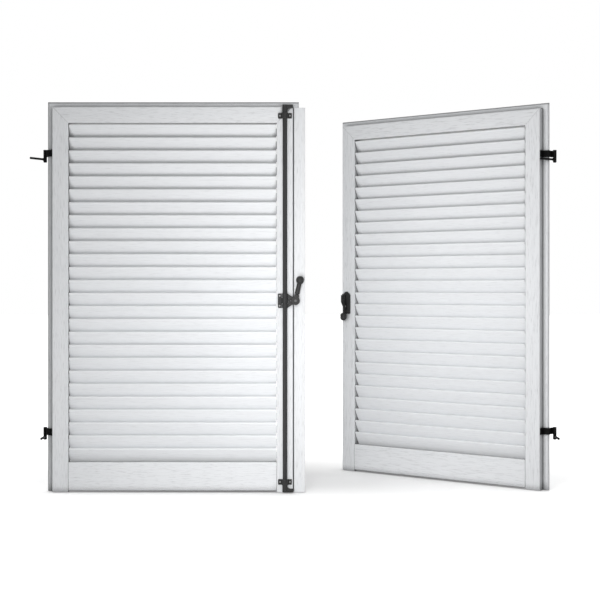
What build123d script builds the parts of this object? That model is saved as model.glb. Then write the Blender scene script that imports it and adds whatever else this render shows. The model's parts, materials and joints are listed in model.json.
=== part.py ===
"""A pair of white louvred shutters with their pintle hinges and a rod lock.

Millimetres. X runs to the right, Y away from the room, Z up. The origin lies
midway between the two hinge axes, level with the bottom of the leaves. The
left leaf is closed and the right leaf stands open, away from the room.
"""

import os
from math import cos, radians, sin, tan

from build123d import *

# Leaves: the face seen from the room is a box, with a thinner lip round it
HINGE_SPAN = 1974
PIN_TO_BOX = 37.5
BOX_WIDTH = 922.5
BOX_HEIGHT = 1476
LEAF_DEPTH = 42
FACE_Y = -55
LIP_WIDTH = 22.5
LIP_SETBACK = 27.5
LIP_GROOVE_WIDTH = 3
LIP_GROOVE_DEPTH = 2
LIP_RADIUS = 10
FACE_EDGE_RADIUS = 3.5
BACK_EDGE_RADIUS = 3
MEMBER_WIDTH = 62
MITRE_GROOVE = 1.1
BOTTOM_RAIL_HEIGHT = 115
BOTTOM_RAIL_LIFT = 4
BOTTOM_RAIL_END_CHAMFER = 1.2
BOTTOM_RAIL_SLOPE_DEPTH = 27
BOTTOM_RAIL_SLOPE_DROP = 20
OPEN_ANGLE = 36.5

# Louvre slats
SLAT_COUNT = 26
SLAT_PITCH = 49.65
SLAT_WIDTH = 65
SLAT_THICKNESS = 9
SLAT_LEAN = 30
SLAT_TOP_GAP = 5
SLAT_END_GAP = 2.5
TENON_WIDTH = 30
TENON_THICKNESS = 5

# Cover strip over the meeting edges
STRIP_LEFT = -22.5
STRIP_RIGHT = 19.5
STRIP_HEIGHT = 1472
STRIP_DEPTH = 26
STRIP_EDGE_RADIUS = 1.5
STRIP_FOOT_WIDTH = 6
STRIP_SCREW_X = -19.5
STRIP_SCREW_COUNT = 5
STRIP_SCREW_PITCH = 320

# Hinges: a strap with a barrel on the leaf, and an L-shaped pintle
HINGE_HEIGHTS = {"upper": 1301, "lower": 228}
GUDGEON_HEIGHT = 25
STRAP_THICKNESS = 4
STRAP_FLANGE_DEPTH = 21
STRAP_TO_LIP = 0.6
BARREL_RADIUS = 7
BARREL_RISE = 2.5
BARREL_BORE = 4.8
GUDGEON_SCREW_OUT = 17
PINTLE_RADIUS = 6.8
PINTLE_DROP = 33.5
PINTLE_SHOULDER_GAP = 0.3
PIN_RADIUS = 4.5
SHANK_RADIUS = 4.2
SHANK_COLLAR_RADIUS = 5.8
SHANK_COLLAR_REACH = 9
SHANK_LENGTH = 74
SHANK_DROP = 21.6
SHANK_ANGLES = {"left_upper": 233, "left_lower": 270, "right_upper": 212, "right_lower": 270}

# Rod of the lock, on the left leaf's meeting stile
ROD_X = -57.5
ROD_OUT = 12
ROD_RADIUS = 8.5
ROD_CLEARANCE = 0.35
ROD_ENDS = (9, 1475)
HOOK_RADIUS = 10
HOOK_HEIGHT = 27
HOOK_REACH = 31
HOOK_FINGER = 12.5
HOOK_FILLET = 14
HOOK_WIDTH = 14
HOOK_TOP = 1482
HOOK_BOTTOM = 2
GUIDE_HEIGHTS = {"top": 1441, "bottom": 39.5}
GUIDE_WIDTH = 53
GUIDE_HEIGHT = 21
GUIDE_THICKNESS = 3
GUIDE_SCREW_OUT = 18.5

# Lever, its wing on the rod and its bracket on the stile
LOCK_Z = 733
BRACKET_LEFT = -85
BRACKET_RIGHT = -70
BRACKET_HEIGHT = 55
BRACKET_THICKNESS = 4
BRACKET_SCREW_X = -77.5
BRACKET_SCREW_PITCH = 38
KNUCKLE_HEIGHT = 22
COLLAR_RADIUS = 11
COLLAR_HEIGHT = 15.5
WING_THICKNESS = 8
WING_WAIST_X = -31
WING_WAIST_HEIGHT = 33
WING_TIP_RADIUS = 12
RIVET_X = -35
RIVET_SEAT_RADIUS = 6
RIVET_SEAT_DEPTH = 2.5
RIVET_HEAD_RADIUS = 3.6
RIVET_RADIUS = 2.5
PIVOT_X = -17
LEVER_LEAN = 12.4
LEVER_CHEEK_GAP = 0.3
CHEEK_RADIUS = 16.5
CHEEK_THICKNESS = 4
LEVER_WIDTH = 18.6
LEVER_SHOULDER = 23
LEVER_BRIDGE = 5
LEVER_NECK = 3.5
LEVER_NECK_WIDTH = 12
LEVER_TILT = 6
GRIP_TOP_AT = 70
GRIP_BASE = (9.4, 6.2)
GRIP_TOP = (8.3, 5.6)
LEVER_KNOB_AT = 81
LEVER_KNOB_RADIUS = 15.6
PIVOT_PIN_RADIUS = 3.5
PIVOT_PIN_CLEARANCE = 0.3
PIVOT_HEAD_RADIUS = 5
PIVOT_HEAD_HEIGHT = 1.8

# Keeper and its tipping catch, on the right leaf's meeting stile
KEEPER_LEFT = 32
KEEPER_RIGHT = 68
KEEPER_BOTTOM = 672
KEEPER_TOP = 765
KEEPER_SHOULDER = 13
KEEPER_THICKNESS = 4
KEEPER_HOOK_X = 40
KEEPER_HOOK_WIDTH = 6
KEEPER_SLOT = (11, 25)
KEEPER_SLOT_FLOOR = 733
KEEPER_SLOT_TOP = 751
KEEPER_LIP_FRONT = 30.5
KEEPER_FLOOR_THICKNESS = 11
KEEPER_WAIST_OUT = 16
KEEPER_WAIST_TOP = 700
KEEPER_WAIST_BOTTOM = 691
KEEPER_SCREWS = [(51, 757), (56, 690)]
CATCH_X = 46.6
CATCH_THICKNESS = 2.4
CATCH_FRONT = 31
CATCH_ARM_WIDTH = 3
CATCH_ELBOW = (726, 730)
CATCH_NOSE_BACK = 21
CATCH_NOSE_UNDERSIDE = 754
CATCH_NOSE_TOP = 756.5
CATCH_PIVOT_OUT = 10.5
CATCH_PIVOT_Z = 703
CATCH_BOSS_RADIUS = 5.8
CATCH_PIN_RADIUS = 2.5
CATCH_PIN_CLEARANCE = 0.3
CATCH_PIN_HEAD_RADIUS = 4
CATCH_PIN_HEAD_HEIGHT = 1.5
CATCH_BALL_X = 45
CATCH_BALL_OUT = 19.2
CATCH_BALL_BOTTOM = 655.3
CATCH_BALL_TOP = 662.7
CATCH_BALL_RADIUS = 13.3
CATCH_STEM_WIDTH = 7

# Screws
SCREW_RADIUS = 2
SCREW_HEAD_RADIUS = 3.6
SCREW_HEAD_HEIGHT = 1.6
SCREW_HEAD_CHAMFER = 0.8
SCREW_HOLE_RADIUS = 2.3
SCREW_LENGTH = 18
STRIP_SCREW_LENGTH = 34

# Worked out from the values above
PIN_X = HINGE_SPAN / 2
BOX_LEFT = -PIN_X + PIN_TO_BOX
BOX_RIGHT = BOX_LEFT + BOX_WIDTH
LIP_LEFT = BOX_LEFT - LIP_WIDTH
LIP_RIGHT = BOX_RIGHT + LIP_WIDTH
LEAF_HEIGHT = BOX_HEIGHT + LIP_WIDTH
BACK_Y = FACE_Y + LEAF_DEPTH
OPENING_LEFT = BOX_LEFT + MEMBER_WIDTH
OPENING_RIGHT = BOX_RIGHT - MEMBER_WIDTH
OPENING_TOP = BOX_HEIGHT - MEMBER_WIDTH
STRAP_OUT = LIP_WIDTH + STRAP_TO_LIP
ROD_Y = FACE_Y - ROD_OUT
KNUCKLE_RADIUS = ROD_RADIUS + ROD_CLEARANCE + GUIDE_THICKNESS
RIGHT_PIN_AXIS = Axis((PIN_X, 0, 0), (0, 0, 1))

os.makedirs("parts", exist_ok=True)
pieces = {}


def swing_open(piece):
    """Turn a piece of the right leaf from its closed place to its open one."""
    return piece.rotate(RIGHT_PIN_AXIS, -OPEN_ANGLE)


def on_right_leaf(piece):
    """Copy a piece of the left leaf to the right leaf, mirrored and swung open."""
    with BuildPart() as copy:
        add(swing_open(mirror(piece, about=Plane.YZ, mode=Mode.PRIVATE)))
    return copy.part


def make_screws(seat, places, length=SCREW_LENGTH):
    """Make screws whose heads sit on a plane that faces into the wood."""
    with BuildPart() as screws:
        with BuildSketch(seat):
            with Locations(places):
                Circle(SCREW_HEAD_RADIUS)
        extrude(amount=-SCREW_HEAD_HEIGHT)
        chamfer(screws.edges().group_by(Axis(seat.origin, seat.z_dir))[0], SCREW_HEAD_CHAMFER)
        with BuildSketch(seat):
            with Locations(places):
                Circle(SCREW_RADIUS)
        extrude(amount=length)
    return screws.part


def make_frame_member(plane, length, mitres):
    """Extrude the frame's section along a plane's normal and mitre it.

    The plane's x runs outwards from the side of the box and its y away from
    the room. Each mitre is a plane whose positive side is cut away, and a
    fine groove runs along it on the face.
    """
    with BuildPart() as member:
        with BuildSketch(plane) as section:
            with BuildLine():
                Polyline(
                    (-MEMBER_WIDTH, 0),
                    (0, 0),
                    (0, LIP_SETBACK + LIP_GROOVE_DEPTH),
                    (LIP_GROOVE_WIDTH, LIP_SETBACK + LIP_GROOVE_DEPTH),
                    (LIP_GROOVE_WIDTH, LIP_SETBACK),
                    (LIP_WIDTH, LIP_SETBACK),
                    (LIP_WIDTH, LEAF_DEPTH),
                    (-MEMBER_WIDTH, LEAF_DEPTH),
                    close=True,
                )
            make_face()
            fillet(section.vertices().group_by(Axis.Y)[0], FACE_EDGE_RADIUS)
            fillet(section.vertices().group_by(Axis.X)[-1].sort_by(Axis.Y)[0], LIP_RADIUS)
            fillet(section.vertices().group_by(Axis.Y)[-1], BACK_EDGE_RADIUS)
        extrude(amount=length)
        for mitre in mitres:
            split(bisect_by=mitre, keep=Keep.BOTTOM)
            groove_start = (mitre.origin.X, FACE_Y, mitre.origin.Z)
            groove_way = mitre.z_dir.cross(Vector(0, 1, 0))
            with BuildSketch(Plane(groove_start, x_dir=mitre.z_dir, z_dir=groove_way)):
                Rectangle(MITRE_GROOVE, MITRE_GROOVE, rotation=45)
            extrude(amount=2 * (MEMBER_WIDTH + LIP_WIDTH), both=True, mode=Mode.SUBTRACT)
    return member.part


# Frame of the left leaf: two stiles and a top rail of one section, mitred
left_corner = (LIP_LEFT, 0, LEAF_HEIGHT)
right_corner = (LIP_RIGHT, 0, LEAF_HEIGHT)
pieces["left_hinge_stile"] = make_frame_member(
    Plane((BOX_LEFT, FACE_Y, LEAF_HEIGHT), x_dir=(-1, 0, 0), z_dir=(0, 0, -1)),
    LEAF_HEIGHT,
    [Plane(left_corner, z_dir=(1, 0, 1))],
)
pieces["left_meeting_stile"] = make_frame_member(
    Plane((BOX_RIGHT, FACE_Y, 0), x_dir=(1, 0, 0), z_dir=(0, 0, 1)),
    LEAF_HEIGHT,
    [Plane(right_corner, z_dir=(-1, 0, 1))],
)
pieces["left_top_rail"] = make_frame_member(
    Plane((LIP_RIGHT, FACE_Y, BOX_HEIGHT), x_dir=(0, 0, 1), z_dir=(-1, 0, 0)),
    LIP_RIGHT - LIP_LEFT,
    [Plane(left_corner, z_dir=(-1, 0, -1)), Plane(right_corner, z_dir=(1, 0, -1))],
)

# Bottom rail: butted between the stiles, its top sloping down to the outside
with BuildPart() as bottom_rail:
    with BuildSketch(Plane.YZ.offset(OPENING_LEFT)) as rail_section:
        with BuildLine():
            Polyline(
                (FACE_Y, BOTTOM_RAIL_LIFT),
                (FACE_Y, BOTTOM_RAIL_HEIGHT),
                (BACK_Y - BOTTOM_RAIL_SLOPE_DEPTH, BOTTOM_RAIL_HEIGHT),
                (BACK_Y, BOTTOM_RAIL_HEIGHT - BOTTOM_RAIL_SLOPE_DROP),
                (BACK_Y, BOTTOM_RAIL_LIFT),
                close=True,
            )
        make_face()
        fillet(rail_section.vertices().group_by(Axis.X)[0], FACE_EDGE_RADIUS)
    extrude(amount=OPENING_RIGHT - OPENING_LEFT)
    chamfer(bottom_rail.edges().filter_by(Axis.Z).group_by(Axis.Y)[0], BOTTOM_RAIL_END_CHAMFER)
pieces["left_bottom_rail"] = bottom_rail.part

# Slats: rounded blades with tenons, high on the room side and low on the outside
slat_rise = (SLAT_WIDTH - SLAT_THICKNESS) * cos(radians(SLAT_LEAN)) / 2 + SLAT_THICKNESS / 2
slat_middle = (FACE_Y + BACK_Y) / 2
top_slat = OPENING_TOP - SLAT_TOP_GAP - slat_rise
slat_stack = top_slat - SLAT_PITCH * (SLAT_COUNT - 1) / 2
slat_ends = Plane((OPENING_LEFT, slat_middle, slat_stack), x_dir=(0, 1, 0), z_dir=(1, 0, 0))
with BuildPart() as slats:
    with BuildSketch(slat_ends):
        with GridLocations(SLAT_PITCH, SLAT_PITCH, 1, SLAT_COUNT):
            Rectangle(TENON_WIDTH, TENON_THICKNESS, rotation=90 + SLAT_LEAN)
    extrude(amount=OPENING_RIGHT - OPENING_LEFT)
    with BuildSketch(slat_ends.offset(SLAT_END_GAP)):
        with GridLocations(SLAT_PITCH, SLAT_PITCH, 1, SLAT_COUNT):
            SlotOverall(SLAT_WIDTH, SLAT_THICKNESS, rotation=90 + SLAT_LEAN)
    extrude(amount=OPENING_RIGHT - OPENING_LEFT - 2 * SLAT_END_GAP)
pieces["left_louvre_slats"] = slats.part

# Cover strip: stands on the left leaf's lip and reaches over the right leaf's
with BuildPart() as strip:
    with BuildSketch() as strip_section:
        with BuildLine():
            Polyline(
                (STRIP_LEFT, FACE_Y),
                (STRIP_RIGHT, FACE_Y),
                (STRIP_RIGHT, FACE_Y + STRIP_DEPTH),
                (STRIP_LEFT + STRIP_FOOT_WIDTH, FACE_Y + STRIP_DEPTH),
                (STRIP_LEFT + STRIP_FOOT_WIDTH, FACE_Y + LIP_SETBACK),
                (STRIP_LEFT, FACE_Y + LIP_SETBACK),
                close=True,
            )
        make_face()
        fillet(strip_section.vertices().group_by(Axis.Y)[0], STRIP_EDGE_RADIUS)
    extrude(amount=STRIP_HEIGHT)
pieces["cover_strip"] = strip.part

strip_screw_seat = Plane((STRIP_SCREW_X, BACK_Y, STRIP_HEIGHT / 2), x_dir=(1, 0, 0), z_dir=(0, -1, 0))
strip_screw_places = GridLocations(STRIP_SCREW_PITCH, STRIP_SCREW_PITCH, 1, STRIP_SCREW_COUNT)
pieces["cover_strip_screws"] = make_screws(
    strip_screw_seat, [place.position for place in strip_screw_places], STRIP_SCREW_LENGTH
)


def make_gudgeon(height):
    """Bend a strap over the lip of the left leaf and end it in a barrel."""
    top = height + GUDGEON_HEIGHT / 2
    inner = LIP_SETBACK - STRAP_THICKNESS
    barrel_depth = -FACE_Y
    with BuildPart() as gudgeon:
        with BuildSketch(Plane((BOX_LEFT, FACE_Y, top), x_dir=(-1, 0, 0), z_dir=(0, 0, -1))):
            with BuildLine():
                Polyline(
                    (0, LIP_SETBACK - STRAP_FLANGE_DEPTH - STRAP_THICKNESS),
                    (STRAP_THICKNESS, LIP_SETBACK - STRAP_FLANGE_DEPTH - STRAP_THICKNESS),
                    (STRAP_THICKNESS, inner),
                    (STRAP_OUT + STRAP_THICKNESS / 2, inner),
                    (STRAP_OUT + STRAP_THICKNESS, inner + STRAP_THICKNESS / 2),
                    (STRAP_OUT + STRAP_THICKNESS, barrel_depth - STRAP_THICKNESS),
                    (PIN_TO_BOX, barrel_depth - STRAP_THICKNESS),
                    (PIN_TO_BOX, barrel_depth + STRAP_THICKNESS / 2),
                    (STRAP_OUT, barrel_depth + STRAP_THICKNESS / 2),
                    (STRAP_OUT, LIP_SETBACK),
                    (0, LIP_SETBACK),
                    close=True,
                )
            make_face()
        extrude(amount=GUDGEON_HEIGHT)
        with BuildSketch(Plane((-PIN_X, 0, top - GUDGEON_HEIGHT))):
            Circle(BARREL_RADIUS)
        extrude(amount=GUDGEON_HEIGHT + BARREL_RISE)
        with BuildSketch(Plane((-PIN_X, 0, top - GUDGEON_HEIGHT))):
            Circle(BARREL_BORE)
        extrude(amount=GUDGEON_HEIGHT + BARREL_RISE, mode=Mode.SUBTRACT)
        with BuildSketch(Plane((BOX_LEFT - GUDGEON_SCREW_OUT, FACE_Y + inner, height), z_dir=(0, 1, 0))):
            Circle(SCREW_HOLE_RADIUS)
        extrude(amount=STRAP_THICKNESS, mode=Mode.SUBTRACT)
    return gudgeon.part


def make_pintle(axis_x, height, shank_angle):
    """Make a pin on a shoulder, with a shank that goes into the wall."""
    shoulder = height - GUDGEON_HEIGHT / 2 - PINTLE_SHOULDER_GAP
    shank_way = (cos(radians(shank_angle)), sin(radians(shank_angle)), 0)
    with BuildPart() as pintle:
        with BuildSketch(Plane((axis_x, 0, height - PINTLE_DROP))):
            Circle(PINTLE_RADIUS)
        extrude(amount=shoulder - height + PINTLE_DROP)
        chamfer(pintle.edges().group_by(Axis.Z)[0], SHANK_RADIUS / 2)
        with BuildSketch(Plane((axis_x, 0, shoulder))):
            Circle(PIN_RADIUS)
        extrude(amount=GUDGEON_HEIGHT + BARREL_RISE + PINTLE_SHOULDER_GAP)
        chamfer(pintle.edges().group_by(Axis.Z)[-1], 1)
        with BuildSketch(Plane((axis_x, 0, height - SHANK_DROP), z_dir=shank_way)):
            Circle(SHANK_COLLAR_RADIUS)
        extrude(amount=SHANK_COLLAR_REACH)
        with BuildSketch(Plane((axis_x, 0, height - SHANK_DROP), z_dir=shank_way)):
            Circle(SHANK_RADIUS)
        extrude(amount=SHANK_LENGTH)
    return pintle.part


for level, hinge_height in HINGE_HEIGHTS.items():
    left_gudgeon = make_gudgeon(hinge_height)
    pieces[f"left_{level}_gudgeon"] = left_gudgeon
    pieces[f"right_{level}_gudgeon"] = on_right_leaf(left_gudgeon)
    for side, axis_x in (("left", -PIN_X), ("right", PIN_X)):
        shank_angle = SHANK_ANGLES[f"{side}_{level}"]
        pieces[f"{side}_{level}_pintle"] = make_pintle(axis_x, hinge_height, shank_angle)

strap_seat = Plane(
    (BOX_LEFT - GUDGEON_SCREW_OUT, FACE_Y + LIP_SETBACK - STRAP_THICKNESS, 0),
    x_dir=(-1, 0, 0),
    z_dir=(0, 1, 0),
)
pieces["left_gudgeon_screws"] = make_screws(
    strap_seat, [(0, hinge_height) for hinge_height in HINGE_HEIGHTS.values()]
)

# Right leaf: the left leaf's frame, slats and hinge screws, mirrored
for name in ("hinge_stile", "meeting_stile", "top_rail", "bottom_rail", "louvre_slats", "gudgeon_screws"):
    pieces[f"right_{name}"] = on_right_leaf(pieces[f"left_{name}"])

# Rod: round, turning in its guides
with BuildPart() as rod:
    with BuildSketch(Plane((ROD_X, ROD_Y, ROD_ENDS[0]))):
        Circle(ROD_RADIUS)
    extrude(amount=ROD_ENDS[1] - ROD_ENDS[0])
pieces["espagnolette_rod"] = rod.part


def make_hook(end, inwards):
    """Make a socket on a rod's end, with a finger on a rounded root.

    The end is the hook's outer face and inwards is 1 or -1, the way along Z
    from there to the rod.
    """
    finger_root = HOOK_FINGER * inwards
    rod_end = ROD_ENDS[0] if inwards > 0 else ROD_ENDS[1]
    with BuildPart() as hook:
        with BuildSketch(Plane((ROD_X, ROD_Y, end))):
            Circle(HOOK_RADIUS)
        extrude(amount=HOOK_HEIGHT * inwards)
        with BuildSketch(Plane((ROD_X, ROD_Y, end), x_dir=(1, 0, 0), z_dir=(0, -1, 0))):
            with BuildLine():
                Line((0, 0), (HOOK_REACH, 0))
                Line((HOOK_REACH, 0), (HOOK_REACH, finger_root))
                Line((HOOK_REACH, finger_root), (ROD_RADIUS + HOOK_FILLET, finger_root))
                RadiusArc(
                    (ROD_RADIUS + HOOK_FILLET, finger_root),
                    (ROD_RADIUS, finger_root + HOOK_FILLET * inwards),
                    HOOK_FILLET * inwards,
                )
                Line((ROD_RADIUS, finger_root + HOOK_FILLET * inwards), (0, finger_root + HOOK_FILLET * inwards))
                Line((0, finger_root + HOOK_FILLET * inwards), (0, 0))
            make_face()
        extrude(amount=HOOK_WIDTH / 2, both=True)
        with BuildSketch(Plane((ROD_X, ROD_Y, rod_end))):
            Circle(ROD_RADIUS)
        extrude(amount=HOOK_HEIGHT * inwards, mode=Mode.SUBTRACT)
    return hook.part


pieces["top_hook"] = make_hook(HOOK_TOP, -1)
pieces["bottom_hook"] = make_hook(HOOK_BOTTOM, 1)


def make_guide(height):
    """Arch a strap over the rod, with a flat foot on each side of it."""
    arch = KNUCKLE_RADIUS
    channel = ROD_RADIUS + ROD_CLEARANCE
    with BuildPart() as guide:
        with BuildSketch(Plane((ROD_X, FACE_Y, height - GUIDE_HEIGHT / 2), x_dir=(-1, 0, 0), z_dir=(0, 0, 1))):
            Rectangle(GUIDE_WIDTH, GUIDE_THICKNESS, align=(Align.CENTER, Align.MIN))
            Rectangle(2 * arch, ROD_OUT, align=(Align.CENTER, Align.MIN))
            with Locations((0, ROD_OUT)):
                Circle(arch)
                Circle(channel, mode=Mode.SUBTRACT)
            Rectangle(2 * channel, ROD_OUT, align=(Align.CENTER, Align.MIN), mode=Mode.SUBTRACT)
        extrude(amount=GUIDE_HEIGHT)
        feet = guide.edges().filter_by(Axis.Y).group_by(Axis.X)
        fillet(feet[0] + feet[-1], GUIDE_THICKNESS)
        with BuildSketch(Plane((ROD_X, FACE_Y, height), x_dir=(1, 0, 0), z_dir=(0, -1, 0))):
            with GridLocations(2 * GUIDE_SCREW_OUT, 0, 2, 1):
                Circle(SCREW_HOLE_RADIUS)
        extrude(amount=GUIDE_THICKNESS, mode=Mode.SUBTRACT)
    return guide.part


guide_screw_places = []
for end_name, guide_height in GUIDE_HEIGHTS.items():
    pieces[f"{end_name}_rod_guide"] = make_guide(guide_height)
    guide_screw_places += [(-GUIDE_SCREW_OUT, guide_height), (GUIDE_SCREW_OUT, guide_height)]
guide_seat = Plane((ROD_X, FACE_Y - GUIDE_THICKNESS, 0), x_dir=(-1, 0, 0), z_dir=(0, 1, 0))
pieces["rod_guide_screws"] = make_screws(guide_seat, guide_screw_places)

# Bracket: a plate beside the rod, with one knuckle round the rod
with BuildPart() as bracket:
    with BuildSketch(Plane.XZ.offset(-FACE_Y)):
        with Locations((BRACKET_LEFT, LOCK_Z)):
            Rectangle(BRACKET_RIGHT - BRACKET_LEFT, BRACKET_HEIGHT, align=(Align.MIN, Align.CENTER))
            Rectangle(ROD_X - BRACKET_LEFT, KNUCKLE_HEIGHT, align=(Align.MIN, Align.CENTER))
        with Locations((BRACKET_SCREW_X, LOCK_Z)):
            with GridLocations(0, BRACKET_SCREW_PITCH, 1, 2):
                Circle(SCREW_HOLE_RADIUS, mode=Mode.SUBTRACT)
    extrude(amount=BRACKET_THICKNESS)
    fillet(bracket.edges().filter_by(Axis.Y).group_by(Axis.X)[0], BRACKET_THICKNESS)
    with BuildSketch(Plane((ROD_X, ROD_Y, LOCK_Z))):
        Circle(KNUCKLE_RADIUS)
    extrude(amount=KNUCKLE_HEIGHT / 2, both=True)
    with BuildSketch(Plane((ROD_X, ROD_Y, LOCK_Z))):
        Circle(ROD_RADIUS + ROD_CLEARANCE)
    extrude(amount=KNUCKLE_HEIGHT / 2, both=True, mode=Mode.SUBTRACT)
pieces["lever_bracket"] = bracket.part

bracket_seat = Plane((BRACKET_SCREW_X, FACE_Y - BRACKET_THICKNESS, LOCK_Z), x_dir=(-1, 0, 0), z_dir=(0, 1, 0))
pieces["lever_bracket_screws"] = make_screws(
    bracket_seat, [(0, -BRACKET_SCREW_PITCH / 2), (0, BRACKET_SCREW_PITCH / 2)]
)

# Wing: two collars on the rod, above and below the knuckle, and a tapering web
web_root = ROD_X + ROD_RADIUS + 0.5
knuckle_clear = ROD_X + KNUCKLE_RADIUS + 1.5
collar_inner = BRACKET_HEIGHT / 2 - COLLAR_HEIGHT
wing_plane = Plane((0, ROD_Y, LOCK_Z), x_dir=(1, 0, 0), z_dir=(0, -1, 0))
with BuildPart() as wing:
    with BuildSketch(wing_plane):
        with BuildLine():
            Polyline(
                (web_root, BRACKET_HEIGHT / 2),
                (WING_WAIST_X, WING_WAIST_HEIGHT / 2),
                (PIVOT_X, WING_TIP_RADIUS),
                (PIVOT_X, -WING_TIP_RADIUS),
                (WING_WAIST_X, -WING_WAIST_HEIGHT / 2),
                (web_root, -BRACKET_HEIGHT / 2),
                (web_root, -collar_inner),
                (knuckle_clear, -collar_inner),
                (knuckle_clear, collar_inner),
                (web_root, collar_inner),
                close=True,
            )
        make_face()
        with Locations((PIVOT_X, 0)):
            Circle(WING_TIP_RADIUS)
            Circle(PIVOT_PIN_RADIUS + PIVOT_PIN_CLEARANCE, mode=Mode.SUBTRACT)
        with Locations((RIVET_X, 0)):
            Circle(RIVET_RADIUS, mode=Mode.SUBTRACT)
    extrude(amount=WING_THICKNESS / 2, both=True)
    with BuildSketch(wing_plane.offset(WING_THICKNESS / 2)):
        with Locations((RIVET_X, 0)):
            Circle(RIVET_SEAT_RADIUS)
    extrude(amount=-RIVET_SEAT_DEPTH, mode=Mode.SUBTRACT)
    for collar_bottom in (LOCK_Z - BRACKET_HEIGHT / 2, LOCK_Z + collar_inner):
        with BuildSketch(Plane((ROD_X, ROD_Y, collar_bottom))):
            Circle(COLLAR_RADIUS)
        extrude(amount=COLLAR_HEIGHT)
    with BuildSketch(Plane((ROD_X, ROD_Y, LOCK_Z))):
        Circle(ROD_RADIUS)
    extrude(amount=BRACKET_HEIGHT / 2, both=True, mode=Mode.SUBTRACT)
pieces["lever_wing"] = wing.part

with BuildPart() as rivet:
    with BuildSketch(wing_plane.offset(-WING_THICKNESS / 2)):
        with Locations((RIVET_X, 0)):
            Circle(RIVET_RADIUS)
    extrude(amount=WING_THICKNESS)
    with BuildSketch(wing_plane.offset(WING_THICKNESS / 2 - RIVET_SEAT_DEPTH)):
        with Locations((RIVET_X, 0)):
            Circle(RIVET_HEAD_RADIUS)
    extrude(amount=RIVET_SEAT_DEPTH)
    chamfer(rivet.edges().group_by(Axis.Y)[0], SCREW_HEAD_CHAMFER)
pieces["wing_rivet"] = rivet.part

# Lever: a forked hub that turns on the wing's tip, and a grip with a ball end
lean = radians(LEVER_LEAN)
lever_right = (cos(lean), 0, -sin(lean))
lever_up = (sin(lean), 0, cos(lean))
lever_plane = Plane((PIVOT_X, ROD_Y, LOCK_Z), x_dir=lever_right, z_dir=(0, -1, 0))
cheek_inner = WING_THICKNESS / 2 + LEVER_CHEEK_GAP
cheek_outer = cheek_inner + CHEEK_THICKNESS
with BuildPart() as hub:
    for cheek_start in (cheek_inner, -cheek_outer):
        with BuildSketch(lever_plane.offset(cheek_start)):
            Circle(CHEEK_RADIUS)
            Rectangle(LEVER_WIDTH, LEVER_SHOULDER, align=(Align.CENTER, Align.MIN))
            Circle(PIVOT_PIN_RADIUS, mode=Mode.SUBTRACT)
        extrude(amount=CHEEK_THICKNESS)
    with BuildSketch(lever_plane.offset(-cheek_outer)):
        with Locations((0, LEVER_SHOULDER)):
            Rectangle(LEVER_WIDTH, LEVER_BRIDGE, align=(Align.CENTER, Align.MAX))
    extrude(amount=2 * cheek_outer)
    with BuildSketch(lever_plane):
        with Locations((0, LEVER_SHOULDER)):
            Rectangle(LEVER_NECK_WIDTH, LEVER_NECK, align=(Align.CENTER, Align.MIN))
    extrude(amount=WING_THICKNESS / 2, both=True)
pieces["lever_hub"] = hub.part


def lever_station(along):
    """Place a plane across the lever's grip, which leans out into the room."""
    out = along * tan(radians(LEVER_TILT))
    middle = Vector(PIVOT_X, ROD_Y - out, LOCK_Z) + Vector(lever_up) * along
    return Plane(middle, x_dir=lever_right, z_dir=lever_up)


with BuildPart() as grip:
    with BuildSketch(lever_station(LEVER_SHOULDER + LEVER_NECK)):
        Ellipse(*GRIP_BASE)
    with BuildSketch(lever_station(GRIP_TOP_AT)):
        Ellipse(*GRIP_TOP)
    loft(ruled=True)
    with Locations(lever_station(LEVER_KNOB_AT).origin):
        Sphere(LEVER_KNOB_RADIUS)
pieces["lever_grip"] = grip.part

with BuildPart() as pivot_pin:
    with BuildSketch(lever_plane.offset(-cheek_outer)):
        Circle(PIVOT_PIN_RADIUS)
    extrude(amount=2 * cheek_outer)
    with BuildSketch(lever_plane.offset(cheek_outer)):
        Circle(PIVOT_HEAD_RADIUS)
    extrude(amount=PIVOT_HEAD_HEIGHT)
    chamfer(pivot_pin.edges().group_by(Axis.Y)[0], SCREW_HEAD_CHAMFER)
pieces["lever_pivot_pin"] = pivot_pin.part

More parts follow.
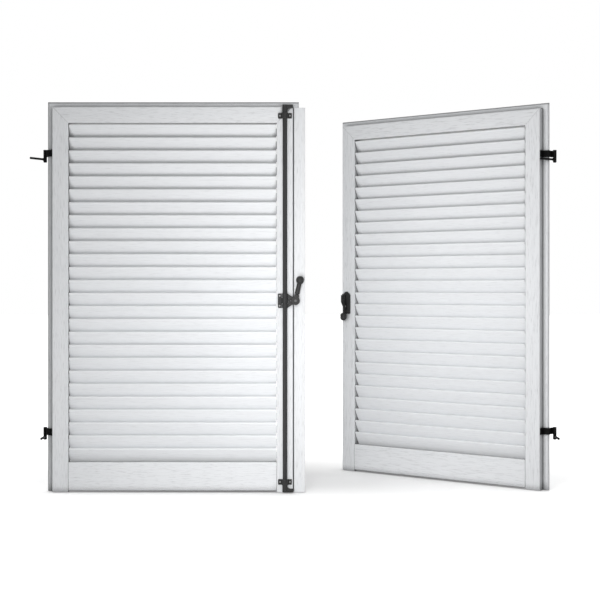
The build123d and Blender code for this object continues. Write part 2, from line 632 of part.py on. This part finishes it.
# Keeper: a plate with a hook, open at the top, that the lever drops into
with BuildPart() as keeper:
    with BuildSketch(Plane.XZ.offset(-FACE_Y)) as keeper_plate:
        with BuildLine():
            Polyline(
                (KEEPER_LEFT, KEEPER_BOTTOM),
                (KEEPER_RIGHT, KEEPER_BOTTOM),
                (KEEPER_RIGHT, KEEPER_TOP - KEEPER_SHOULDER),
                (KEEPER_RIGHT - KEEPER_SHOULDER, KEEPER_TOP),
                (KEEPER_LEFT + KEEPER_SHOULDER, KEEPER_TOP),
                (KEEPER_LEFT, KEEPER_TOP - KEEPER_SHOULDER),
                close=True,
            )
        make_face()
        fillet(keeper_plate.vertices(), KEEPER_THICKNESS)
        with Locations(KEEPER_SCREWS):
            Circle(SCREW_HOLE_RADIUS, mode=Mode.SUBTRACT)
    extrude(amount=KEEPER_THICKNESS)
    with BuildSketch(Plane((KEEPER_HOOK_X, FACE_Y, 0), x_dir=(0, -1, 0), z_dir=(-1, 0, 0))) as hook_side:
        with BuildLine():
            Polyline(
                (KEEPER_THICKNESS, KEEPER_SLOT_TOP),
                (KEEPER_SLOT[0], KEEPER_SLOT_TOP),
                (KEEPER_SLOT[0], KEEPER_SLOT_FLOOR),
                (KEEPER_SLOT[1], KEEPER_SLOT_FLOOR),
                (KEEPER_SLOT[1], KEEPER_SLOT_TOP),
                (KEEPER_LIP_FRONT, KEEPER_SLOT_TOP),
                (KEEPER_LIP_FRONT, KEEPER_SLOT_FLOOR - KEEPER_FLOOR_THICKNESS),
                (KEEPER_WAIST_OUT, KEEPER_WAIST_TOP),
                (KEEPER_WAIST_OUT, KEEPER_WAIST_BOTTOM),
                (KEEPER_THICKNESS, KEEPER_BOTTOM + KEEPER_SHOULDER),
                close=True,
            )
        make_face()
        slot_corners = hook_side.vertices().filter_by_position(
            Axis.Y, KEEPER_SLOT_FLOOR - 0.1, KEEPER_SLOT_FLOOR + 0.1
        )
        fillet(slot_corners, KEEPER_THICKNESS)
        with Locations((CATCH_PIVOT_OUT, CATCH_PIVOT_Z)):
            Circle(CATCH_PIN_RADIUS, mode=Mode.SUBTRACT)
    extrude(amount=-KEEPER_HOOK_WIDTH)
pieces["lever_keeper"] = swing_open(keeper.part)

keeper_seat = Plane((0, FACE_Y - KEEPER_THICKNESS, 0), x_dir=(-1, 0, 0), z_dir=(0, 1, 0))
keeper_screws = make_screws(keeper_seat, [(-x, z) for x, z in KEEPER_SCREWS])
pieces["keeper_screws"] = swing_open(keeper_screws)

# Catch: a flat arm beside the hook, with a nose over the slot and a long ball below
with BuildPart() as catch:
    with BuildSketch(Plane((CATCH_X, FACE_Y, 0), x_dir=(0, -1, 0), z_dir=(-1, 0, 0))):
        with BuildLine():
            Polyline(
                (CATCH_PIVOT_OUT, CATCH_PIVOT_Z + CATCH_BOSS_RADIUS),
                (CATCH_FRONT - CATCH_ARM_WIDTH, CATCH_ELBOW[1]),
                (CATCH_FRONT - CATCH_ARM_WIDTH, CATCH_NOSE_UNDERSIDE),
                (CATCH_NOSE_BACK, CATCH_NOSE_UNDERSIDE),
                (CATCH_NOSE_BACK, CATCH_NOSE_TOP),
                (CATCH_FRONT, CATCH_NOSE_TOP),
                (CATCH_FRONT, CATCH_ELBOW[0]),
                (CATCH_PIVOT_OUT + CATCH_BOSS_RADIUS, CATCH_PIVOT_Z),
                (CATCH_BALL_OUT + CATCH_STEM_WIDTH / 2, CATCH_BALL_TOP),
                (CATCH_BALL_OUT - CATCH_STEM_WIDTH / 2, CATCH_BALL_TOP),
                (CATCH_PIVOT_OUT - CATCH_BOSS_RADIUS, CATCH_PIVOT_Z),
                close=True,
            )
        make_face()
        with Locations((CATCH_PIVOT_OUT, CATCH_PIVOT_Z)):
            Circle(CATCH_BOSS_RADIUS)
            Circle(CATCH_PIN_RADIUS + CATCH_PIN_CLEARANCE, mode=Mode.SUBTRACT)
    extrude(amount=-CATCH_THICKNESS)
    for ball_height in (CATCH_BALL_BOTTOM, CATCH_BALL_TOP):
        with Locations((CATCH_BALL_X, FACE_Y - CATCH_BALL_OUT, ball_height)):
            Sphere(CATCH_BALL_RADIUS)
pieces["keeper_catch"] = swing_open(catch.part)

with BuildPart() as catch_pin:
    pin_plane = Plane((KEEPER_HOOK_X, FACE_Y - CATCH_PIVOT_OUT, CATCH_PIVOT_Z), z_dir=(1, 0, 0))
    catch_face = CATCH_X + CATCH_THICKNESS + CATCH_PIN_CLEARANCE - KEEPER_HOOK_X
    with BuildSketch(pin_plane):
        Circle(CATCH_PIN_RADIUS)
    extrude(amount=catch_face)
    for head_start in (-CATCH_PIN_HEAD_HEIGHT, catch_face):
        with BuildSketch(pin_plane.offset(head_start)):
            Circle(CATCH_PIN_HEAD_RADIUS)
        extrude(amount=CATCH_PIN_HEAD_HEIGHT)
pieces["catch_pivot_pin"] = swing_open(catch_pin.part)

for name, piece in pieces.items():
    piece.label = name
    export_step(piece, f"parts/{name}.step")
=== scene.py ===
"""Looks of a pair of white louvred shutters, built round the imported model.

Metres. X runs to the right, Y away from the room, Z up.
"""

import json
import math

import bpy
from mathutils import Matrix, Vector


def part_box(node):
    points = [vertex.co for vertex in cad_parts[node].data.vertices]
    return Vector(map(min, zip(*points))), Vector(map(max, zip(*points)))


ALONG_X, ALONG_Z = 0, 2
WHITE = (1, 1, 1, 1)

# Picture and camera
PICTURE_PX = 600
FOCAL_PX = 1233
HORIZON_PX = 287.4
SENSOR_WIDTH = 36
CAMERA_DISTANCE = 4.722
CAMERA_HEIGHT = 0.784

# White paint: linear greys, a faint blue, and how far flecks of grain darken it
FRAME_GREY = 0.80
# The lock side's grey is darker as painted shade, to hold down the strong light on the lock side
LOCK_SIDE_SHADED_GREY = 0.755
SLAT_GREY = 0.87
PAINT_TINT = (0.985, 1.0, 1.02)
FRAME_FLECK = 0.24
SLAT_FLECK = 0.09
PAINT_ROUGHNESS = 0.5
PAINT_GLOSS = 0.2

# Wood grain under the paint: fine streaks and broad bands, as noise scales
STREAKS_ACROSS = 420
STREAKS_ALONG = 24
STREAK_DETAIL = 3
STREAK_STOPS = (0.30, 0.46, 0.75)
STREAK_LIGHT = 1.03
BANDS_ACROSS = 60
BANDS_ALONG = 1.2
BAND_DETAIL = 2
BAND_STOPS = [(0.30, 0.97), (0.70, 1.0)]
GRAIN_SHARPNESS = 0.65
GRAIN_BUMP = 0.25
GRAIN_DEPTH = 0.0006

# Coatings of the metal: linear grey, roughness and gloss
LOCK_COATING = (0.034, 0.40, 0.12)
HINGE_COATING = (0.006, 0.45, 0.05)
FASTENER_COATING = (0.30, 0.4, 0.2)
PIN_COATING = (0.13, 0.4, 0.2)
HINGE_ENDINGS = ("gudgeon", "gudgeon_screws", "pintle")
PIN_ENDINGS = ("pin", "rivet")

# Faint mottle of the coatings
MOTTLE_SCALE = 350
MOTTLE_DETAIL = 3
MOTTLE_STOPS = (0.3, 0.7)
MOTTLE_SWING = 0.15
MOTTLE_BUMP = 0.15
MOTTLE_DEPTH = 0.0003

# Painted shade in crevices: how open a place is where the shade is full and where it ends
CREVICE_FULL = 0.25
CREVICE_END = 0.88
CREVICE_SAMPLES = 8

# Painted crevice shade of each kind: how far surfaces shade each other, and the darkest shade
STEP_REACH = 0.04
STEP_SHADE = 0.12
HARDWARE_REACH = 0.012
HARDWARE_SHADE = 0.02
FLOOR_SHADE_REACH = 0.25
FLOOR_SHADE = 0.35

# Painted shade in the gaps between slats: it sets in at one height and is whole at another
GAP_REACH = 0.022
GAP_SHADE = 0.38
GAP_FULL = 0.55
GAP_HEIGHTS = (0.75, 1.4)

# Outer rim of a leaf: painted shade, darker than its face
RIM_WIDTH = 0.008
RIM_DARK_WIDTH = RIM_WIDTH / 3
RIM_SHADE = 0.36

# Floor, just under the leaves, with a dimmer oval of glow round them, painted shade that lets their shadows show
FLOOR_SIZE = 60
FLOOR_DROP = 0.002
FLOOR_GREY = 0.8
FLOOR_ROUGHNESS = 0.9
FLOOR_OVAL_SHIFT = (0, -0.30, 0)
FLOOR_OVAL_SCALE = (0.6, 1.2, 1)
FLOOR_FADE = (0.2, 1.1)
FLOOR_GLOW_NEAR = 0.30

# World's fill on the object, from the room's side and from behind
FILL_DIRECTION = (-0.34, -0.94, 0)
WORLD_FILL = 0.98
WORLD_FILL_FOCUS = 1.5
WORLD_BACK_FILL = 0.95

# Lamps
SOFTBOX_SIZE = 0.6
SPOT_RADIUS = 0.2

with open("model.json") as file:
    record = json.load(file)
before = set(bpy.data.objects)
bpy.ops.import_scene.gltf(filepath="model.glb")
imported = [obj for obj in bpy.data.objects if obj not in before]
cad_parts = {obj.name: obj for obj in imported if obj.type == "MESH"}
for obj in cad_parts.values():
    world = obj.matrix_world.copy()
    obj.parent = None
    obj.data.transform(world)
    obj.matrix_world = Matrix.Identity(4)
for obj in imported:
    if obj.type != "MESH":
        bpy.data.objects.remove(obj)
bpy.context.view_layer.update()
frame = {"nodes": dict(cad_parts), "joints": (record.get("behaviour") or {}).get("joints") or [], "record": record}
nodes = frame["nodes"]
joints = {joint["name"]: joint for joint in frame["joints"]}

# The right leaf stands open by the angle that its hinge turns back to close it
right_turn = math.radians(-joints["right_leaf_hinge"]["range_deg"][0])


def add_node(tree, kind, inputs=None, **settings):
    """Add a shader node, set its properties, and set or link its inputs."""
    node = tree.nodes.new(kind)
    for name, value in settings.items():
        setattr(node, name, value)
    for key, value in (inputs or {}).items():
        if isinstance(value, bpy.types.NodeSocket):
            tree.links.new(value, node.inputs[key])
        else:
            node.inputs[key].default_value = value
    return node


def math_node(tree, operation, first, second):
    """Join two values, each a socket or a number."""
    return add_node(tree, "ShaderNodeMath", {0: first, 1: second}, operation=operation).outputs[0]


def map_range(tree, value, start, end, low=0, high=1):
    """Map a value from one range to another, held at both ends."""
    inputs = {"Value": value, "From Min": start, "From Max": end, "To Min": low, "To Max": high}
    return add_node(tree, "ShaderNodeMapRange", inputs).outputs["Result"]


def color_ramp(tree, factor, stops, tint=(1, 1, 1)):
    """Map a factor through tinted greys given as (position, grey) stops."""
    ramp = add_node(tree, "ShaderNodeValToRGB", {"Fac": factor})
    elements = ramp.color_ramp.elements
    while len(elements) < len(stops):
        elements.new(0.5)
    for element, (position, grey) in zip(elements, stops):
        element.position = position
        element.color = tuple(grey * part for part in tint) + (1,)
    return ramp.outputs["Color"]


def multiply(tree, first, second):
    """Multiply two colours."""
    inputs = {"Factor": 1, "A": first, "B": second}
    mix = add_node(tree, "ShaderNodeMix", inputs, data_type="RGBA", blend_type="MULTIPLY")
    return mix.outputs["Result"]


def object_place(tree):
    """Place on a piece, in the piece's own axes."""
    return add_node(tree, "ShaderNodeTexCoord").outputs["Object"]


def object_axis(tree, axis):
    """One coordinate of the place on a piece."""
    return add_node(tree, "ShaderNodeSeparateXYZ", {"Vector": object_place(tree)}).outputs[axis]


def new_material(name):
    """Start a material and return it with its tree and its main shader."""
    material = bpy.data.materials.new(name)
    material.use_nodes = True
    tree = material.node_tree
    return material, tree, tree.nodes["Principled BSDF"]


def grain_noise(tree, along, turn, across_scale, along_scale, detail):
    """Noise drawn out along the grain, in the leaf's own axes."""
    stretch = [across_scale] * 3
    stretch[along] = along_scale
    turning = {"Vector": object_place(tree), "Rotation": (0, 0, turn)}
    turned = add_node(tree, "ShaderNodeMapping", turning, vector_type="POINT")
    stretching = {"Vector": turned.outputs["Vector"], "Scale": stretch}
    stretched = add_node(tree, "ShaderNodeMapping", stretching, vector_type="POINT")
    inputs = {"Vector": stretched.outputs["Vector"], "Scale": 1, "Detail": detail}
    noise = add_node(tree, "ShaderNodeTexNoise", inputs)
    noise.inputs["Roughness"].default_value = GRAIN_SHARPNESS
    return noise.outputs["Fac"]


def crevice_shade(tree, reach, darkest, full=CREVICE_FULL, own_shape=False):
    """Painted shade: grey that falls from white in the open to its darkest in gaps and corners."""
    occlusion = add_node(tree, "ShaderNodeAmbientOcclusion", {"Distance": reach}, only_local=own_shape)
    occlusion.samples = CREVICE_SAMPLES
    return color_ramp(tree, occlusion.outputs["AO"], [(full, darkest), (CREVICE_END, 1)])


def shade_upwards(tree, shade):
    """Let a painted shade grow from none to whole between two heights of a leaf."""
    share = map_range(tree, object_axis(tree, ALONG_Z), *GAP_HEIGHTS)
    inputs = {"Factor": share, "A": WHITE, "B": shade}
    return add_node(tree, "ShaderNodeMix", inputs, data_type="RGBA").outputs["Result"]


def rim_shade(tree, axis, edge, inward):
    """Painted shade: grey that darkens the last few millimetres before an outer edge."""
    start = edge + inward * RIM_WIDTH
    end = edge + inward * RIM_DARK_WIDTH
    return map_range(tree, object_axis(tree, axis), start, end, 1, RIM_SHADE)


def add_relief(tree, shader, height, strength, depth):
    """Let a texture raise and sink the surface a little."""
    bump = add_node(tree, "ShaderNodeBump", {"Height": height, "Strength": strength, "Distance": depth})
    tree.links.new(bump.outputs["Normal"], shader.inputs["Normal"])


def grain_paint_and_shade(name, grey, fleck, along, turn, rims=(), own_shape=False):
    """White paint over wood grain that runs along an axis of the leaf.

    Pieces of a leaf's frame have rims, with painted shade in their corners and on their rims. Slats have no rims,
    and painted shade in their gaps that grows towards the top of the leaf.
    """
    material, tree, shader = new_material(name)
    streaks = grain_noise(tree, along, turn, STREAKS_ACROSS, STREAKS_ALONG, STREAK_DETAIL)
    bands = grain_noise(tree, along, turn, BANDS_ACROSS, BANDS_ALONG, BAND_DETAIL)
    streak_greys = (grey * (1 - fleck), grey, grey * STREAK_LIGHT)
    streak_tone = color_ramp(tree, streaks, list(zip(STREAK_STOPS, streak_greys)), PAINT_TINT)
    band_tone = color_ramp(tree, bands, BAND_STOPS)
    tone = multiply(tree, streak_tone, band_tone)
    if rims:
        shade = crevice_shade(tree, STEP_REACH, STEP_SHADE, own_shape=own_shape)
    else:
        shade = shade_upwards(tree, crevice_shade(tree, GAP_REACH, GAP_SHADE, GAP_FULL))
    tone = multiply(tree, tone, shade)
    for rim in rims:
        tone = multiply(tree, tone, rim_shade(tree, *rim))
    tree.links.new(tone, shader.inputs["Base Color"])
    add_relief(tree, shader, streaks, GRAIN_BUMP, GRAIN_DEPTH)
    shader.inputs["Roughness"].default_value = PAINT_ROUGHNESS
    shader.inputs["Specular IOR Level"].default_value = PAINT_GLOSS
    return material


def matt_coating_and_shade(name, grey, roughness, gloss):
    """Matt coating with a faint mottle, and painted shade that darkens it in corners."""
    material, tree, shader = new_material(name)
    inputs = {"Vector": object_place(tree), "Scale": MOTTLE_SCALE, "Detail": MOTTLE_DETAIL}
    mottle = add_node(tree, "ShaderNodeTexNoise", inputs).outputs["Fac"]
    mottle_greys = (grey * (1 - MOTTLE_SWING), grey * (1 + MOTTLE_SWING))
    tone = color_ramp(tree, mottle, list(zip(MOTTLE_STOPS, mottle_greys)))
    tone = multiply(tree, tone, crevice_shade(tree, HARDWARE_REACH, HARDWARE_SHADE))
    tree.links.new(tone, shader.inputs["Base Color"])
    add_relief(tree, shader, mottle, MOTTLE_BUMP, MOTTLE_DEPTH)
    shader.inputs["Roughness"].default_value = roughness
    shader.inputs["Specular IOR Level"].default_value = gloss
    return material


def seen_directly(tree):
    """1 for rays that see the backdrop, 0 for those that light the object."""
    light_path = add_node(tree, "ShaderNodeLightPath")
    seen = light_path.outputs["Is Camera Ray"]
    for ray in ("Is Glossy Ray", "Is Transmission Ray"):
        seen = math_node(tree, "MAXIMUM", seen, light_path.outputs[ray])
    return seen


def dress(node_name, material):
    """Give a CAD node one material."""
    mesh = nodes[node_name].data
    mesh.materials.clear()
    mesh.materials.append(material)


def hang(name, data, location, target):
    """Hang a lamp that points at a target."""
    lamp = bpy.data.objects.new(name, data)
    bpy.context.scene.collection.objects.link(lamp)
    lamp.location = location
    direction = Vector(target) - lamp.location
    lamp.rotation_euler = direction.to_track_quat("-Z", "Y").to_euler()


def area_light(name, location, target, power):
    """Hang a square soft light."""
    data = bpy.data.lights.new(name, "AREA")
    data.size = SOFTBOX_SIZE
    data.energy = power
    hang(name, data, location, target)


def spot_light(name, location, target, angle, power):
    """Aim a soft-edged spot at a target."""
    data = bpy.data.lights.new(name, "SPOT")
    data.spot_size = math.radians(angle)
    data.spot_blend = 1
    data.shadow_soft_size = SPOT_RADIUS
    data.energy = power
    hang(name, data, location, target)


# Paint: grain runs up the stiles and along the rails and slats, with painted shade in corners and gaps and on the
# outer rims
top_rim = (ALONG_Z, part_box("left_top_rail")[1][2], -1)
left_rim = (ALONG_X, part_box("left_hinge_stile")[0][0], 1)
left_rims = [top_rim, left_rim]
for side, turn, rims in (("left", 0, left_rims), ("right", right_turn, [top_rim])):
    upright = grain_paint_and_shade(f"{side}_upright_paint", FRAME_GREY, FRAME_FLECK, ALONG_Z, turn, rims)
    level = grain_paint_and_shade(f"{side}_level_paint", FRAME_GREY, FRAME_FLECK, ALONG_X, turn, rims)
    slat = grain_paint_and_shade(f"{side}_slat_paint", SLAT_GREY, SLAT_FLECK, ALONG_X, turn)
    dress(f"{side}_hinge_stile", upright)
    dress(f"{side}_meeting_stile", upright)
    dress(f"{side}_top_rail", level)
    dress(f"{side}_bottom_rail", level)
    dress(f"{side}_louvre_slats", slat)

# Lock side of the left leaf: a darker grey as painted shade, and painted crevice shade from its own steps only,
# not from the rod before it
lock_side = grain_paint_and_shade(
    "lock_side_paint_and_shade", LOCK_SIDE_SHADED_GREY, FRAME_FLECK, ALONG_Z, 0, left_rims, own_shape=True
)
dress("left_meeting_stile", lock_side)
dress("cover_strip", lock_side)

# Metal: black lock and hinges, grey screws and pins, black screws on hinges and keeper
lock = matt_coating_and_shade("lock_black", *LOCK_COATING)
hinge = matt_coating_and_shade("hinge_black", *HINGE_COATING)
fastener = matt_coating_and_shade("fastener_grey", *FASTENER_COATING)
pin = matt_coating_and_shade("pin_grey", *PIN_COATING)
slot_coatings = {"hardware_black": lock, "fastener_black": fastener}
for subpart in frame["record"]["subparts"]:
    node_name = subpart["node"]
    slot = subpart["material_slot"]
    if node_name.endswith(HINGE_ENDINGS):
        dress(node_name, hinge)
    elif node_name.endswith(PIN_ENDINGS):
        dress(node_name, pin)
    elif slot in slot_coatings:
        dress(node_name, slot_coatings[slot])
dress("keeper_screws", lock)

# Floor: glows white in the picture, dimmer round the leaves as painted shade so that their shadows show, and with
# a painted shadow where they close it in
bpy.ops.mesh.primitive_plane_add(size=FLOOR_SIZE, location=(0, 0, -FLOOR_DROP))
floor = bpy.context.object
floor.name = "floor"
floor_material, floor_tree, floor_shader = new_material("floor_white")
floor_shader.inputs["Base Color"].default_value = (FLOOR_GREY, FLOOR_GREY, FLOOR_GREY, 1)
floor_shader.inputs["Roughness"].default_value = FLOOR_ROUGHNESS
oval_inputs = {"Vector": object_place(floor_tree), "Location": FLOOR_OVAL_SHIFT, "Scale": FLOOR_OVAL_SCALE}
oval = add_node(floor_tree, "ShaderNodeMapping", oval_inputs, vector_type="POINT")
distance = add_node(floor_tree, "ShaderNodeVectorMath", {0: oval.outputs["Vector"]}, operation="LENGTH")
glow = map_range(floor_tree, distance.outputs["Value"], *FLOOR_FADE, FLOOR_GLOW_NEAR, 1)
floor_strength = math_node(floor_tree, "MULTIPLY", glow, seen_directly(floor_tree))
floor_shade = crevice_shade(floor_tree, FLOOR_SHADE_REACH, FLOOR_SHADE)
floor_tree.links.new(floor_strength, floor_shader.inputs["Emission Strength"])
floor_tree.links.new(floor_shade, floor_shader.inputs["Emission Color"])
floor.data.materials.append(floor_material)

# World: white in the picture and in reflections, a fill from before and behind on the object
world = bpy.data.worlds.new("studio")
bpy.context.scene.world = world
world.use_nodes = True
world_tree = world.node_tree
way = add_node(world_tree, "ShaderNodeTexCoord").outputs["Generated"]
facing = add_node(world_tree, "ShaderNodeVectorMath", {0: way, 1: FILL_DIRECTION}, operation="DOT_PRODUCT")
room_side = math_node(world_tree, "MAXIMUM", facing.outputs["Value"], 0)
room_focus = math_node(world_tree, "POWER", room_side, WORLD_FILL_FOCUS)
room_fill = math_node(world_tree, "MULTIPLY", room_focus, WORLD_FILL)
back_fill = math_node(world_tree, "MULTIPLY", facing.outputs["Value"], -WORLD_BACK_FILL)
fill = math_node(world_tree, "MAXIMUM", room_fill, back_fill)
strength_inputs = {"Factor": seen_directly(world_tree), "A": fill, "B": 1}
world_strength = add_node(world_tree, "ShaderNodeMix", strength_inputs, data_type="FLOAT")
background = world_tree.nodes["Background"]
background.inputs["Color"].default_value = WHITE
world_tree.links.new(world_strength.outputs["Result"], background.inputs["Strength"])

# Lamps: soft light low and high on the closed leaf, a spot on the open leaf and one on its free side
area_light("low_softbox", location=(-0.25, -1.3, 0.28), target=(-0.2, 0, 0.33), power=6.7)
area_light("high_softbox", location=(0.12, -1.3, 1.3), target=(0.1, 0, 1.3), power=6.5)
spot_light("right_leaf_spot", location=(-0.3, -2.4, 0.6), target=(0.66, 0.24, 0.6), angle=50, power=54)
spot_light("free_side_spot", location=(0.9, -1.5, 0.7), target=(0.3, 0.5, 0.74), angle=36, power=10)

# Camera: level, looking straight at the closed leaf's plane
camera_data = bpy.data.cameras.new("camera")
camera_data.sensor_width = SENSOR_WIDTH
camera_data.lens = SENSOR_WIDTH * FOCAL_PX / PICTURE_PX
camera_data.shift_y = (HORIZON_PX - PICTURE_PX / 2) / PICTURE_PX
camera = bpy.data.objects.new("camera", camera_data)
bpy.context.scene.collection.objects.link(camera)
face_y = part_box("left_meeting_stile")[0][1]
camera.location = (0, face_y - CAMERA_DISTANCE, CAMERA_HEIGHT)
camera.rotation_euler = (math.radians(90), 0, 0)
bpy.context.scene.camera = camera
bpy.context.scene.view_settings.view_transform = "Standard"
